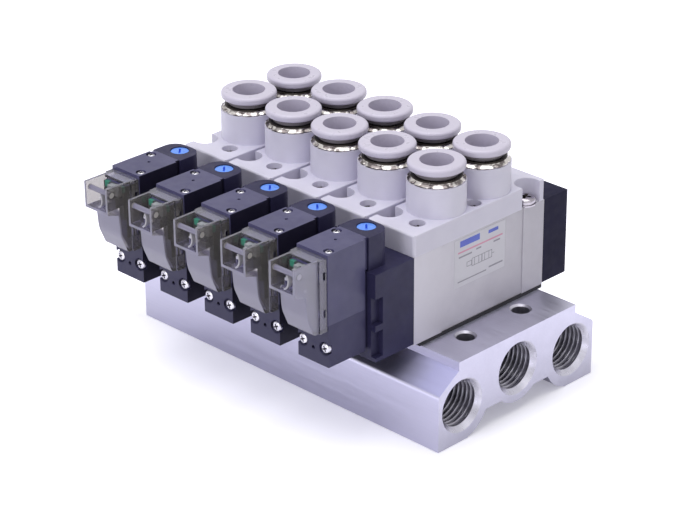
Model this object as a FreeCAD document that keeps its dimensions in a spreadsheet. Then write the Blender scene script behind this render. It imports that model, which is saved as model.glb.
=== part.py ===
"""A bank of five air valves, each with a pilot solenoid and two tube fittings, on one base bar.

X runs along the bar, the pilots point to -Y and the tubes go in from above along -Z.
The origin is the middle of the bar's underside.
"""
import FreeCAD, Part
import os

import Sketcher

# Driving sizes in millimetres, one cell of the sheet each
SIZES = {
    # Base bar
    "pitch": 16.0,
    "bar_length": 103.6,
    "bar_width": 55.8,
    "deck_width": 42.0,
    "deck_height": 21.35,
    "deck_step": 2.2,
    "shoulder_height": 14.6,
    "shoulder_round": 1.4,
    "outer_port_offset": 19.75,
    "outer_port_height": 9.5,
    "middle_port_height": 11.9,
    "port_minor_radius": 5.72,
    "port_mouth_radius": 6.95,
    "port_thread_depth": 12.0,
    "passage_radius": 5.0,
    "outer_lobe_radius": 9.5,
    "middle_lobe_radius": 8.9,
    "recess_half_width": 17.6,
    "recess_height": 5.2,
    "bar_hole_inset": 8.1,
    "bar_hole_offset": 9.9,
    "bar_hole_radius": 2.25,
    "bar_hole_chamfer": 0.5,
    "feed_radius": 2.2,
    "exhaust_offset": 14.6,
    # Gasket and metal body
    "gasket_thickness": 0.85,
    "gasket_proud": 0.1,
    "gasket_front": 21.4,
    "body_width": 15.0,
    "body_front": 23.4,
    "body_rear": 22.6,
    "body_height": 22.8,
    "panel_front": 13.8,
    "panel_rear": 15.1,
    "panel_depth": 0.25,
    "spool_height": 11.3,
    "spool_bore_radius": 3.0,
    "spool_clearance": 0.05,
    "spool_waist_radius": 1.9,
    "spool_stroke": 2.5,
    "spool_end_gap": 0.6,
    "land_width": 3.0,
    # White port block with its two bosses
    "block_height": 5.5,
    "fitting_offset": 7.9,
    "boss_radius": 7.2,
    "boss_height": 7.6,
    "tube_stop_height": 1.8,
    "tube_seat_radius": 4.15,
    "port_radius": 2.7,
    "pocket_radius": 3.2,
    "pocket_offset": 6.2,
    "pocket_front": 17.3,
    "pocket_rear": 17.6,
    "corner_hole_radius": 2.0,
    "corner_hole_offset": 2.85,
    "corner_hole_place": 17.5,
    "side_hole_radius": 1.9,
    "side_hole_offset": 4.75,
    "screw_hole_depth": 3.2,
    # Tube fittings
    "sleeve_radius": 6.3,
    "sleeve_wall": 1.0,
    "sleeve_proud": 1.55,
    "sleeve_rim_radius": 6.95,
    "sleeve_rim_height": 0.45,
    "sleeve_seat": 1.0,
    "collar_radius": 7.0,
    "collar_thickness": 1.9,
    "collar_round": 0.75,
    "collar_foot_round": 0.6,
    "collar_gap": 1.3,
    "collar_stroke": 1.0,
    "collar_clearance": 0.08,
    "collar_end_gap": 0.5,
    "tube_bore_radius": 4.1,
    # Black end cap
    "end_cap_length": 9.3,
    "end_cap_inset": 0.2,
    "end_cap_recess": 5.0,
    "end_cap_round": 0.5,
    # Adapter and override housing
    "adapter_length": 12.9,
    "adapter_foot": 0.4,
    "window_depth": 1.4,
    "window_length": 2.5,
    "window_height": 6.8,
    "window_foot": 1.0,
    "window_rib": 1.6,
    "pad_thickness": 0.7,
    "pad_inset": 0.4,
    "housing_height": 8.5,
    "housing_rear": 28.4,
    "housing_front": 35.8,
    "housing_round": 3.5,
    "button_place": 31.5,
    "button_radius": 2.3,
    "button_length": 5.0,
    "button_sink": 0.2,
    "button_clearance": 0.06,
    "button_stroke": 1.2,
    # Pilot solenoid
    "pilot_width": 9.9,
    "pilot_length": 12.0,
    "lip_inset": 0.6,
    "coil_height": 17.7,
    "valve_height": 10.7,
    "core_radius": 2.3,
    "core_clearance": 0.06,
    "core_bore_height": 10.0,
    "core_length": 8.0,
    "core_stroke": 0.6,
    "core_rest_gap": 0.1,
    "nozzle_radius": 0.7,
    "nozzle_height": 0.8,
    "chamber_depth": 1.0,
    "dimple_radius": 0.4,
    "dimple_setback": 1.5,
    "dimple_depth": 0.6,
    "terminal_width": 6.6,
    "terminal_length": 3.4,
    "terminal_height": 13.6,
    "terminal_foot": 2.0,
    # Light cover with the plug socket
    "cover_flange_width": 9.4,
    "cover_flange_length": 2.4,
    "cover_width": 8.3,
    "cover_length": 9.6,
    "cover_wall": 0.7,
    "cover_skirt": 1.4,
    "cover_drop": 0.8,
    "socket_height": 6.8,
    "chin_top_length": 6.3,
    "chin_bend_length": 5.8,
    "chin_foot_length": 3.8,
    "chin_bend_height": 4.7,
    "chin_step": 1.0,
    "chin_round": 8.0,
    "chin_foot_round": 0.9,
    "strip_length": 3.6,
    "bar_radius": 0.65,
    "bar_setback": 1.5,
    "bar_drop": 1.9,
    "latch_width": 0.7,
    "latch_height": 2.0,
    "latch_setback": 0.9,
    "upper_latch": 13.2,
    "lower_latch": 3.8,
    # Circuit board and contact pins in the socket
    "board_thickness": 0.8,
    "board_height": 8.6,
    "pin_side": 0.6,
    "pin_spacing": 2.5,
    "pin_length": 3.0,
    "pin_drop": 1.3,
    # Screws
    "screw_slack": 0.05,
    "mount_offset": 5.7,
    "mount_shank_radius": 1.25,
    "mount_head_radius": 2.6,
    "mount_head_height": 2.0,
    "mount_grip": 5.5,
    "cover_shank_radius": 0.9,
    "cover_head_radius": 1.7,
    "cover_head_height": 1.3,
    "cover_grip": 4.0,
    "pilot_shank_radius": 0.7,
    "pilot_head_radius": 1.05,
    "pilot_head_height": 1.3,
    "pilot_sink_radius": 1.25,
    "pilot_sink_depth": 1.6,
    "pilot_grip": 4.0,
    "coil_grip": 3.0,
    "top_screw_offset": 3.2,
    "top_screw_front": 2.1,
    "top_screw_rear": 1.0,
    "front_screw_offset": 3.6,
    "front_screw_height": 4.5,
    "vent_height": 3.7,
    "vent_radius": 0.5,
}
STATIONS = 5

# Two places closer than this count as the same
TOUCH = 0.01


class Size(float):
    """A length together with the formula that the document keeps for it."""

    def __new__(cls, value, formula):
        size = super().__new__(cls, value)
        size.formula = formula
        return size

    def __add__(self, other):
        return Size(float(self) + float(other), f"({self.formula} + {formula_of(other)})")

    def __radd__(self, other):
        return Size(float(other) + float(self), f"({formula_of(other)} + {self.formula})")

    def __sub__(self, other):
        return Size(float(self) - float(other), f"({self.formula} - {formula_of(other)})")

    def __rsub__(self, other):
        return Size(float(other) - float(self), f"({formula_of(other)} - {self.formula})")

    def __mul__(self, other):
        return Size(float(self) * float(other), f"({self.formula} * {formula_of(other)})")

    def __rmul__(self, other):
        return self * other

    def __truediv__(self, other):
        return Size(float(self) / float(other), f"({self.formula} / {formula_of(other)})")

    def __neg__(self):
        return Size(-float(self), f"(0 - {self.formula})")


def formula_of(value):
    """Gives the text of a size or of a plain number."""
    return value.formula if isinstance(value, Size) else repr(float(value))


class Sizes:
    """The sheet's cells as named sizes."""


def fill_sheet(document):
    """Writes the driving sizes to a sheet and gives them back by name."""
    sheet = document.addObject("Spreadsheet::Sheet", "Sizes")
    named = Sizes()
    for row, (name, value) in enumerate(SIZES.items(), start=1):
        sheet.set(f"A{row}", name.replace("_", " "))
        sheet.set(f"B{row}", str(value))
        sheet.setAlias(f"B{row}", name)
        setattr(named, name, Size(value, f"Sizes.{name}"))
    document.recompute()
    return named


doc = FreeCAD.newDocument("valve_bank")
at = fill_sheet(doc)

# Levels and planes that several pieces share
ZERO = Size(0.0, "0")
body_bottom = at.deck_height + at.gasket_thickness
body_top = body_bottom + at.body_height
block_top = body_top + at.block_height
boss_top = block_top + at.boss_height
sleeve_top = boss_top + at.sleeve_proud
collar_bottom = sleeve_top + at.collar_gap
collar_top = collar_bottom + at.collar_thickness
sleeve_bottom = block_top + at.sleeve_seat
spool_axis = body_bottom + at.spool_height
half_body = at.body_width / 2
adapter_front = -at.body_front - at.adapter_length
pilot_rear = adapter_front - at.pad_thickness
pilot_front = pilot_rear - at.pilot_length
pilot_top = body_top + at.housing_height
coil_bottom = pilot_top - at.coil_height
valve_bottom = coil_bottom - at.valve_height
half_pilot = at.pilot_width / 2
front_screw_level = valve_bottom + at.front_screw_height
socket_top = pilot_top - at.cover_drop
socket_bottom = socket_top - at.socket_height
cover_bottom = coil_bottom - at.cover_skirt
cover_front = pilot_front - at.cover_length


def tie(item, name, size):
    """Binds one property of an object to the sheet."""
    item.setExpression(name, formula_of(size))


def put(item, x=ZERO, y=ZERO, z=ZERO):
    """Binds an object's place to the sheet."""
    tie(item, "Placement.Base.x", x)
    tie(item, "Placement.Base.y", y)
    tie(item, "Placement.Base.z", z)
    return item


def box(name, x, y, z):
    """A block between two values on each axis."""
    item = doc.addObject("Part::Box", name)
    for prop, (low, high) in (("Length", x), ("Width", y), ("Height", z)):
        tie(item, prop, high - low)
    return put(item, x[0], y[0], z[0])


TURNS = {
    "X": FreeCAD.Rotation(FreeCAD.Vector(0, 1, 0), 90),
    "Y": FreeCAD.Rotation(FreeCAD.Vector(1, 0, 0), -90),
    "Z": FreeCAD.Rotation(),
}


def rod(name, radius, length, start, axis="Z"):
    """A round bar or bore that runs along one axis from its start point."""
    item = doc.addObject("Part::Cylinder", name)
    tie(item, "Radius", radius)
    tie(item, "Height", length)
    item.Placement = FreeCAD.Placement(FreeCAD.Vector(), TURNS[axis])
    return put(item, *start)


def cone(name, radius, end_radius, length, start, axis="Z"):
    """A tapered bar or countersink."""
    item = doc.addObject("Part::Cone", name)
    tie(item, "Radius1", radius)
    tie(item, "Radius2", end_radius)
    tie(item, "Height", length)
    item.Placement = FreeCAD.Placement(FreeCAD.Vector(), TURNS[axis])
    return put(item, *start)


def fuse(name, *shapes):
    """Joins overlapping or touching shapes to one."""
    item = doc.addObject("Part::MultiFuse", name)
    item.Shapes = list(shapes)
    item.Refine = True
    return item


def cut(name, base, *tools):
    """Takes the tools away from the base."""
    item = doc.addObject("Part::Cut", name)
    item.Base = base
    item.Tool = tools[0] if len(tools) == 1 else fuse(name + "_tools", *tools)
    item.Refine = True
    return item


def group(name, *shapes):
    """Keeps separate solids together in one piece of the document."""
    item = doc.addObject("Part::Compound", name)
    item.Links = list(shapes)
    return item


def moved(name, shape, x=ZERO, y=ZERO, z=ZERO):
    """A copy of a shape at another place."""
    return put(group(name, shape), x, y, z)


def plane_of(body, role):
    """Finds one of a body's own origin planes."""
    for feature in body.Origin.OriginFeatures:
        if feature.Role == role:
            return feature
    raise LookupError(role)


def profile(body, name, role, corners):
    """A closed outline of straight lines with each corner tied to the sheet."""
    sketch = body.newObject("Sketcher::SketchObject", name)
    sketch.AttachmentSupport = [(plane_of(body, role), "")]
    sketch.MapMode = "FlatFace"
    count = len(corners)
    for index, (across, up) in enumerate(corners):
        after = corners[(index + 1) % count]
        start = FreeCAD.Vector(across, up, 0)
        end = FreeCAD.Vector(after[0], after[1], 0)
        sketch.addGeometry(Part.LineSegment(start, end))
    for index in range(count):
        sketch.addConstraint(Sketcher.Constraint("Coincident", index, 2, (index + 1) % count, 1))
    for index, (across, up) in enumerate(corners):
        for kind, size in (("DistanceX", across), ("DistanceY", up)):
            place = sketch.addConstraint(Sketcher.Constraint(kind, -1, 1, index, 1, float(size)))
            sketch.setExpression(f"Constraints[{place}]", formula_of(size))
    return sketch


def pad(name, corners, role, length):
    """A body made by thickening an outline evenly to both sides of its plane."""
    body = doc.addObject("PartDesign::Body", name)
    sketch = profile(body, name + "_outline", role, corners)
    feature = body.newObject("PartDesign::Pad", name + "_pad")
    feature.Profile = sketch
    feature.SideType = "Symmetric"
    tie(feature, "Length", length)
    body.Tip = feature
    return body


def turned(name, corners):
    """A body made by turning an outline once about the upright axis."""
    body = doc.addObject("PartDesign::Body", name)
    sketch = profile(body, name + "_outline", "XZ_Plane", corners)
    feature = body.newObject("PartDesign::Revolution", name + "_turn")
    feature.Profile = sketch
    feature.ReferenceAxis = (sketch, ["V_Axis"])
    feature.Angle = 360
    body.Tip = feature
    return body


def rounded(body, name, choose, radius):
    """Rounds the edges of a body that the given test picks."""
    doc.recompute()
    base = body.Tip
    edges = [f"Edge{number}" for number, edge in enumerate(base.Shape.Edges, start=1) if choose(edge)]
    feature = body.newObject("PartDesign::Fillet", name)
    feature.Base = (base, edges)
    tie(feature, "Radius", radius)
    body.Tip = feature


def station_place(index):
    """The place of one valve along the bar."""
    return at.pitch * (index - (STATIONS - 1) / 2)


def at_stations(name, master):
    """One copy of a piece for each valve, as pieces of their own."""
    return [moved(f"{name}_{index + 1}", master, station_place(index)) for index in range(STATIONS)]


def one_group(name, master):
    """All copies of a small piece for all valves, as one node of separate solids."""
    copies = [moved(f"{name}_part_{index + 1}", master, station_place(index)) for index in range(STATIONS)]
    return group(name, *copies)


def mount_screw_places():
    """The two screws that hold a valve down, on opposite corners."""
    return ((at.mount_offset, at.pocket_rear), (-at.mount_offset, -at.pocket_front))


def pocket_places():
    """The two pockets of the port block, open to its sides, that those screws stand in."""
    return ((at.pocket_offset, at.pocket_rear), (-at.pocket_offset, -at.pocket_front))


def block_screw_places():
    """The four screws that hold the port block, as place and counterbore radius."""
    corner = (at.corner_hole_offset, -at.corner_hole_place, at.corner_hole_radius)
    side = (at.side_hole_offset, ZERO, at.side_hole_radius)
    opposite = [(-across, -along, radius) for across, along, radius in (corner, side)]
    return [corner, side, *opposite]


def top_screw_places():
    """The two screws through the coil, on opposite corners."""
    front = (at.top_screw_offset, pilot_front + at.top_screw_front)
    rear = (-at.top_screw_offset, pilot_rear - at.top_screw_rear)
    return (front, rear)


# Base bar

def base_ports():
    """The three air ways through the bar with a threaded mouth at both ends."""
    places = (
        ("front", -at.outer_port_offset, at.outer_port_height),
        ("middle", ZERO, at.middle_port_height),
        ("rear", at.outer_port_offset, at.outer_port_height),
    )
    half = at.bar_length / 2
    chamfer = at.port_mouth_radius - at.port_minor_radius
    tools = []
    for name, y, z in places:
        tools.append(rod(f"way_{name}", at.passage_radius, at.bar_length, (-half, y, z), "X"))
        for end, start, mouth in (
            ("left", -half, -half),
            ("right", half - at.port_thread_depth, half - chamfer),
        ):
            tools.append(
                rod(f"mouth_{name}_{end}", at.port_minor_radius, at.port_thread_depth, (start, y, z), "X")
            )
            radii = (at.port_mouth_radius, at.port_minor_radius)
            if end == "right":
                radii = radii[::-1]
            tools.append(cone(f"sink_{name}_{end}", *radii, chamfer, (mouth, y, z), "X"))
    return tools


def base_underside():
    """The hollow between the two feet, with the three rounded ways standing in it."""
    half = at.recess_half_width
    length = at.bar_length
    hollow = box("underside_box", (-length / 2, length / 2), (-half, half), (ZERO, at.recess_height))
    lobes = (
        ("front", at.outer_lobe_radius, -at.outer_port_offset, at.outer_port_height),
        ("middle", at.middle_lobe_radius, ZERO, at.middle_port_height),
        ("rear", at.outer_lobe_radius, at.outer_port_offset, at.outer_port_height),
    )
    rods = [
        rod(f"lobe_{name}", radius, length, (-length / 2, y, z), "X") for name, radius, y, z in lobes
    ]
    return cut("underside", hollow, *rods)


def is_shoulder(edge):
    """Tells whether an edge runs along the top of a side face of the bar."""
    middle = edge.CenterOfMass
    return abs(middle.z - at.shoulder_height) < TOUCH and abs(middle.x) < TOUCH


def base_bar():
    """The extruded bar that carries and feeds all valves."""
    half = at.bar_width / 2
    deck = at.deck_width / 2
    step = at.deck_height - at.deck_step
    corners = [
        (-half, ZERO),
        (half, ZERO),
        (half, at.shoulder_height),
        (deck, step),
        (deck, at.deck_height),
        (-deck, at.deck_height),
        (-deck, step),
        (-half, at.shoulder_height),
    ]
    bar = pad("bar", corners, "YZ_Plane", at.bar_length)
    rounded(bar, "bar_shoulders", is_shoulder, at.shoulder_round)
    tools = base_ports()
    tools.append(base_underside())
    for side in (-1, 1):
        for end in (-1, 1):
            x = (at.bar_length / 2 - at.bar_hole_inset) * end
            y = at.bar_hole_offset * side
            radius = at.bar_hole_radius
            tools.append(rod(f"bolt_hole_{side + 1}{end + 1}", radius, at.deck_height, (x, y, ZERO)))
            depth = at.bar_hole_chamfer
            mouth = (x, y, at.deck_height - depth)
            tools.append(cone(f"bolt_mouth_{side + 1}{end + 1}", radius, radius + depth, depth, mouth))
    for index in range(STATIONS):
        x = station_place(index)
        drops = (
            ("feed", ZERO, at.middle_port_height),
            ("vent_front", -at.exhaust_offset, at.outer_port_height),
            ("vent_rear", at.exhaust_offset, at.outer_port_height),
        )
        for name, y, z in drops:
            tools.append(rod(f"{name}_{index + 1}", at.feed_radius, at.deck_height - z, (x, y, z)))
        for number, (across, along) in enumerate(mount_screw_places()):
            radius = at.mount_shank_radius + at.screw_slack
            start = (x + across, along, at.deck_height - at.mount_grip)
            tools.append(rod(f"tapped_{index + 1}_{number}", radius, at.mount_grip, start))
    return [cut("manifold_base", bar, *tools)]


# Metal valve body, its gasket and its spool

def lower_ports(name, low, high):
    """The three ways between the bar and the spool bore."""
    places = (("feed", ZERO), ("front", -at.exhaust_offset), ("rear", at.exhaust_offset))
    return [rod(f"{name}_{kind}", at.feed_radius, high - low, (ZERO, y, low)) for kind, y in places]


def mount_holes(name, low, high):
    """Two clearance holes for the long screws."""
    radius = at.mount_shank_radius + at.screw_slack
    return [
        rod(f"{name}_{number}", radius, high - low, (x, y, low))
        for number, (x, y) in enumerate(mount_screw_places())
    ]


def gasket():
    """The thin seal between a valve and the bar."""
    reach = half_body + at.gasket_proud
    levels = (at.deck_height, body_bottom)
    sheet = box("gasket_sheet", (-reach, reach), (-at.gasket_front, at.body_rear - at.end_cap_inset), levels)
    tools = lower_ports("gasket_way", *levels) + mount_holes("gasket_hole", *levels)
    return cut("gasket", sheet, *tools)


def valve_body():
    """The cast body with the spool bore along it."""
    levels = (body_bottom, body_top)
    block = box("body_block", (-half_body, half_body), (-at.body_front, at.body_rear), levels)
    tools = []
    for side, inner in (("left", -half_body), ("right", half_body - at.panel_depth)):
        span = (inner, inner + at.panel_depth)
        tools.append(box(f"panel_{side}", span, (-at.panel_front, at.panel_rear), levels))
    length = at.body_front + at.body_rear
    start = (ZERO, -at.body_front, spool_axis)
    tools.append(rod("spool_bore", at.spool_bore_radius, length, start, "Y"))
    tools += lower_ports("body_way", body_bottom, spool_axis)
    tools += mount_holes("body_hole", *levels)
    for side, y in (("front", -at.fitting_offset), ("rear", at.fitting_offset)):
        tools.append(rod(f"work_port_{side}", at.port_radius, body_top - spool_axis, (ZERO, y, spool_axis)))
    for number, (x, y, _) in enumerate(block_screw_places()):
        radius = at.cover_shank_radius + at.screw_slack
        start = (x, y, body_top - at.cover_grip)
        tools.append(rod(f"body_tapped_{number}", radius, at.cover_grip, start))
    return cut("body", block, *tools)


def spool():
    """The sliding spool with four lands, at its spring end stop."""
    radius = at.spool_bore_radius - at.spool_clearance
    start = -at.body_front + at.spool_end_gap
    end = at.body_rear - at.spool_end_gap - at.spool_stroke
    stem = rod("spool_stem", at.spool_waist_radius, end - start, (ZERO, start, spool_axis), "Y")
    gap = (end - start - at.land_width) / 3
    lands = [
        rod(f"land_{index}", radius, at.land_width, (ZERO, start + gap * index, spool_axis), "Y")
        for index in range(4)
    ]
    return fuse("spool_master", stem, *lands)


# White port block and the tube fittings

def port_block():
    """The moulded block with both bosses, screw pockets and counterbores."""
    slab = box("slab", (-half_body, half_body), (-at.body_front, at.body_rear), (body_top, block_top))
    bosses = []
    tools = []
    for side, y in (("front", -at.fitting_offset), ("rear", at.fitting_offset)):
        stop = body_top + at.tube_stop_height
        bosses.append(rod(f"boss_{side}", at.boss_radius, boss_top - body_top, (ZERO, y, body_top)))
        seat_depth = boss_top - sleeve_bottom
        tools.append(rod(f"sleeve_seat_{side}", at.sleeve_radius, seat_depth, (ZERO, y, sleeve_bottom)))
        tools.append(rod(f"tube_seat_{side}", at.tube_seat_radius, sleeve_bottom - stop, (ZERO, y, stop)))
        tools.append(rod(f"tube_way_{side}", at.port_radius, at.tube_stop_height, (ZERO, y, body_top)))
    for number, (x, y) in enumerate(pocket_places()):
        tools.append(rod(f"pocket_{number}", at.pocket_radius, at.block_height, (x, y, body_top)))
        span = (x, half_body) if number == 0 else (-half_body, x)
        mouth = (y - at.pocket_radius, y + at.pocket_radius)
        tools.append(box(f"pocket_mouth_{number}", span, mouth, (body_top, block_top)))
    floor = block_top - at.screw_hole_depth
    for number, (x, y, radius) in enumerate(block_screw_places()):
        shank = at.cover_shank_radius + at.screw_slack
        tools.append(rod(f"head_hole_{number}", radius, at.screw_hole_depth, (x, y, floor)))
        tools.append(rod(f"shank_hole_{number}", shank, floor - body_top, (x, y, body_top)))
    return cut("block", fuse("block_solid", slab, *bosses), *tools)


def fitting_sleeve():
    """The plated metal sleeve that stands in a boss, with a rim that rests on it."""
    outer = at.sleeve_radius
    inner = outer - at.sleeve_wall
    rim_top = boss_top + at.sleeve_rim_height
    corners = [
        (inner, sleeve_bottom),
        (outer, sleeve_bottom),
        (outer, boss_top),
        (at.sleeve_rim_radius, boss_top),
        (at.sleeve_rim_radius, rim_top),
        (outer, rim_top),
        (outer, sleeve_top),
        (inner, sleeve_top),
    ]
    return turned("sleeve", corners)


def is_collar_rim(edge):
    """Tells whether an edge is the outer rim of the collar's top."""
    bounds = edge.BoundBox
    level = abs(bounds.ZMin - collar_top) < TOUCH and abs(bounds.ZMax - collar_top) < TOUCH
    return level and bounds.XMax > at.tube_bore_radius + TOUCH


def is_flange_foot(edge):
    """Tells whether an edge is the outer rim of the flange's underside."""
    bounds = edge.BoundBox
    level = abs(bounds.ZMin - collar_bottom) < TOUCH and abs(bounds.ZMax - collar_bottom) < TOUCH
    return level and bounds.XMax > at.sleeve_radius


def release_collar():
    """The release collar, a flange on a neck that slides in the sleeve."""
    neck = at.sleeve_radius - at.sleeve_wall - at.collar_clearance
    foot = sleeve_bottom + at.collar_stroke + at.collar_end_gap
    corners = [
        (at.tube_bore_radius, foot),
        (neck, foot),
        (neck, collar_bottom),
        (at.collar_radius, collar_bottom),
        (at.collar_radius, collar_top),
        (at.tube_bore_radius, collar_top),
    ]
    body = turned("collar", corners)
    rounded(body, "collar_edge", is_collar_rim, at.collar_round)
    rounded(body, "flange_foot", is_flange_foot, at.collar_foot_round)
    return body


# Black end cap

def is_cap_edge(edge):
    """Tells whether an edge bounds the cap's outer end."""
    return edge.BoundBox.YMin > at.body_rear + at.end_cap_length - TOUCH


def end_cap():
    """The plain cap that closes the spool bore at the rear."""
    reach = half_body - at.end_cap_inset
    rear = at.body_rear + at.end_cap_length
    bottom = body_bottom + at.end_cap_inset
    top = body_top - at.end_cap_inset
    corners = [(at.body_rear, bottom), (rear, bottom), (rear, top), (at.body_rear, top)]
    block = pad("cap_block", corners, "YZ_Plane", reach * 2)
    rounded(block, "cap_edges", is_cap_edge, at.end_cap_round)
    recess = rod(
        "spring_recess", at.spool_bore_radius, at.end_cap_recess, (ZERO, at.body_rear, spool_axis), "Y"
    )
    return cut("cap", block, recess)


# Adapter with the override housing and its button

def adapter():
    """The plate between pilot and body, with the override housing on top."""
    foot = body_bottom + at.adapter_foot
    plate = box("adapter_plate", (-half_body, half_body), (adapter_front, -at.body_front), (foot, body_top))
    inset = half_pilot - at.pad_inset
    levels = (valve_bottom + at.pad_inset, body_top - at.pad_inset)
    seat = box("pilot_seat", (-inset, inset), (pilot_rear, adapter_front), levels)
    span = (-half_pilot, half_pilot)
    levels = (body_top, pilot_top)
    low = box("housing_front", span, (-at.housing_front, -at.housing_rear - at.housing_round), levels)
    reach = half_pilot - at.housing_round
    back = (-at.housing_rear - at.housing_round, -at.housing_rear)
    rear = box("housing_back", (-reach, reach), back, levels)
    height = at.housing_height
    posts = [
        rod(f"housing_post_{side + 1}", at.housing_round, height, (reach * side, back[0], body_top))
        for side in (-1, 1)
    ]
    tools = []
    for side in (-1, 1):
        outer = half_body * side
        inner = (half_body - at.window_depth) * side
        across = (min(outer, inner), max(outer, inner))
        for row in range(2):
            low_edge = foot + at.window_foot + (at.window_height + at.window_rib) * row
            upright = (low_edge, low_edge + at.window_height)
            along = (adapter_front, adapter_front + at.window_length)
            tools.append(box(f"window_{side + 1}{row}", across, along, upright))
    depth = at.button_length + at.button_stroke + at.button_sink
    radius = at.button_radius + at.button_clearance
    well = (ZERO, -at.button_place, pilot_top - depth)
    tools.append(rod("button_well", radius, depth, well))
    tools += front_screw_bores("adapter_bore", pilot_rear, at.pilot_grip)
    return cut("adapter", fuse("adapter_solid", plate, seat, low, rear, *posts), *tools)


def override_button():
    """The round button that pushes the pilot open by hand."""
    start = (ZERO, -at.button_place, pilot_top - at.button_sink - at.button_length)
    return rod("button", at.button_radius, at.button_length, start)


# Pilot solenoid

def front_screw_bores(name, start, length):
    """Two shank holes along Y for the screws that hold the pilot."""
    radius = at.pilot_shank_radius + at.screw_slack
    across = at.front_screw_offset
    return [
        rod(f"{name}_{side + 1}", radius, length, (across * side, start, front_screw_level), "Y")
        for side in (-1, 1)
    ]


def top_screw_bores(name, low, high):
    """Two upright shank holes for the screws through the coil."""
    radius = at.pilot_shank_radius + at.screw_slack
    return [
        rod(f"{name}_{number}", radius, high - low, (x, y, low))
        for number, (x, y) in enumerate(top_screw_places())
    ]


def pilot_coil():
    """The upper pilot, with the coil, the terminal block and the core bore."""
    across = (-half_pilot, half_pilot)
    case = box("coil_case", across, (pilot_front, pilot_rear), (coil_bottom, pilot_top))
    reach = half_pilot - at.lip_inset
    levels = (body_top + at.pad_inset, pilot_top)
    lip = box("coil_lip", (-reach, reach), (pilot_rear, -at.housing_front), levels)
    half = at.terminal_width / 2
    foot = coil_bottom + at.terminal_foot
    along = (pilot_front - at.terminal_length, pilot_front)
    terminal = box("terminal", (-half, half), along, (foot, foot + at.terminal_height))
    middle = (pilot_front + pilot_rear) / 2
    radius = at.core_radius + at.core_clearance
    tools = [rod("core_bore", radius, at.core_bore_height, (ZERO, middle, coil_bottom))]
    floor = pilot_top - at.pilot_sink_depth
    for number, (x, y) in enumerate(top_screw_places()):
        tools.append(rod(f"coil_sink_{number}", at.pilot_sink_radius, at.pilot_sink_depth, (x, y, floor)))
    tools += top_screw_bores("coil_bore", coil_bottom, floor)
    dimple = (ZERO, middle + at.dimple_setback, pilot_top - at.dimple_depth)
    tools.append(rod("dimple", at.dimple_radius, at.dimple_depth, dimple))
    return cut("coil", fuse("coil_solid", case, lip, terminal), *tools)


def pilot_valve():
    """The lower pilot, with the seat chamber and nozzle under the core."""
    across = (-half_pilot, half_pilot)
    case = box("valve_case", across, (pilot_front, pilot_rear), (valve_bottom, coil_bottom))
    middle = (pilot_front + pilot_rear) / 2
    radius = at.core_radius + at.core_clearance
    foot = (ZERO, middle, coil_bottom - at.chamber_depth)
    chamber = rod("chamber", radius, at.chamber_depth, foot)
    nozzle = rod("nozzle", at.nozzle_radius, at.nozzle_height, foot)
    tools = [cut("seat_ring", chamber, nozzle)]
    for side in (-1, 1):
        start = (at.front_screw_offset * side, pilot_front, front_screw_level)
        tools.append(rod(f"front_sink_{side + 1}", at.pilot_sink_radius, at.pilot_sink_depth, start, "Y"))
    tools += front_screw_bores("valve_bore", pilot_front, at.pilot_length)
    tools += top_screw_bores("valve_tapped", coil_bottom - at.coil_grip, coil_bottom)
    vent = (ZERO, pilot_front, valve_bottom + at.vent_height)
    tools.append(rod("vent", at.vent_radius, at.dimple_depth, vent, "Y"))
    return cut("pilot_valve_block", case, *tools)


def pilot_core():
    """The moving iron core, resting just above its nozzle."""
    bottom = coil_bottom - at.chamber_depth + at.nozzle_height + at.core_rest_gap
    middle = (pilot_front + pilot_rear) / 2
    return rod("core", at.core_radius, at.core_length, (ZERO, middle, bottom))


# Light cover and plug socket

def runs_across(edge, y, z):
    """Tells whether an edge runs along X at the given place."""
    middle = edge.CenterOfMass
    return max(abs(middle.x), abs(middle.y - y), abs(middle.z - z)) < TOUCH


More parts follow.
